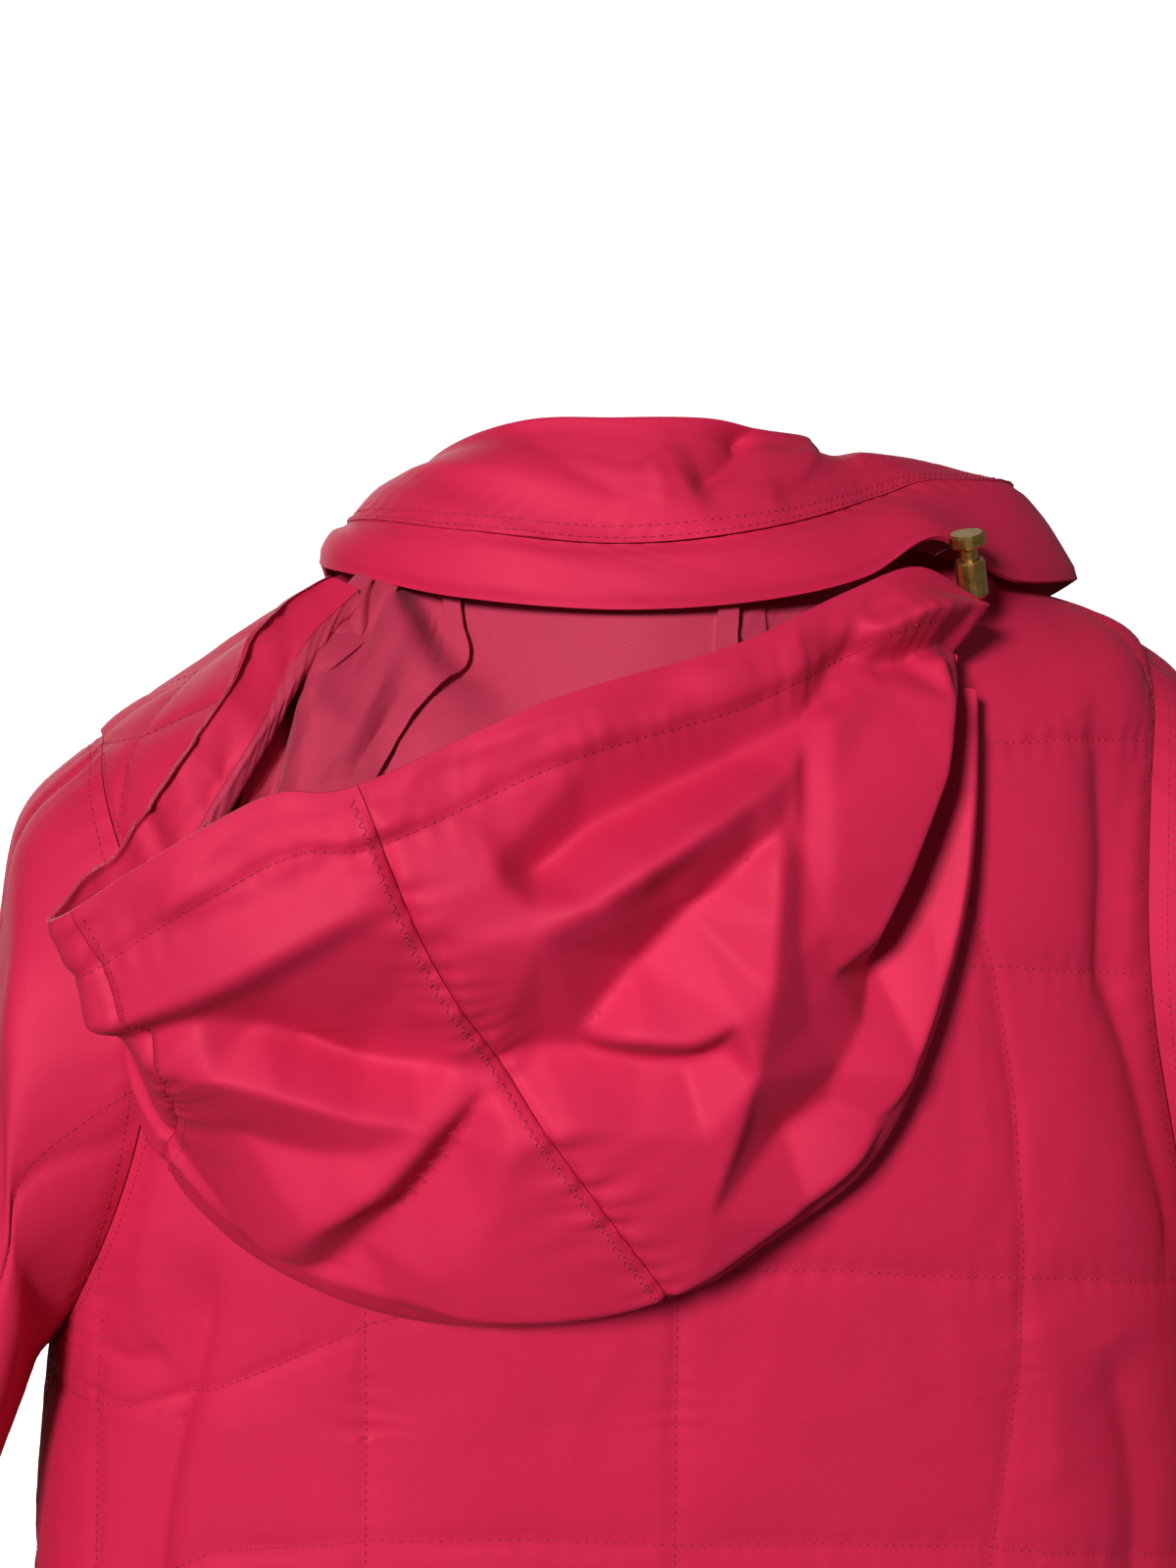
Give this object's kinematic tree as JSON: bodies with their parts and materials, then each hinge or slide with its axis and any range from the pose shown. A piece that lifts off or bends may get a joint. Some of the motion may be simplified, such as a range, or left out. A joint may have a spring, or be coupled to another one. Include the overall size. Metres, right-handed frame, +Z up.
{
  "type": "hooded quilted jacket",
  "caption": "Hooded quilted zip-front jacket in its worn hollow form: fold-over collar, lined hood thrown back, set-in sleeves, open neck, hem and cuffs.",
  "frame": {"origin": "middle of the neck at the height of the shoulder seams, where the wearer holds the jacket up", "axes": "+Z up, the front faces -Y, the wearer's left is +X"},
  "size_m": [0.718, 0.3008, 0.6692],
  "materials": {
    "shell": "satin-faced polyester over thin wadding, quilted",
    "lining": "matt woven lining",
    "zip_tape": "matt woven tape",
    "gold_metal": "antique gold plating"
  },
  "bodies": {
    "jacket": {"back": "shell", "front_left": "shell", "front_right": "shell", "sleeve_left": "shell", "sleeve_right": "shell", "collar_stand": "shell", "collar_fall": "shell", "collar_band": "shell", "hood_side_right": "shell", "hood_crown": "shell", "hood_side_left": "shell", "hood_casing": "shell", "lining_side_right": "lining", "lining_crown": "lining", "lining_side_left": "lining", "lining_tape_left": "lining", "lining_tape_right": "lining", "zip_tape_left": "zip_tape", "zip_tape_right": "zip_tape", "zip_slider": "gold_metal", "toggle_barrel": "gold_metal"},
    "zip_pull": {"zip_pull": "gold_metal"},
    "toggle_plunger": {"toggle_plunger": "gold_metal"}
  },
  "joints": [
    {"name": "zip_pull_hinge", "type": "hinge", "parent": "jacket", "child": "zip_pull", "pos_m": [0, -0.10411, -0.13426], "axis": [-1, 0, 0], "range_deg": [0, 140]},
    {"name": "toggle_press", "type": "slide", "parent": "jacket", "child": "toggle_plunger", "axis": [-0.1561, -0.0698, -0.9853], "range_m": [0, 0.003], "stiffness_N_per_m": 500, "springref_m": -0.0015}
  ]
}
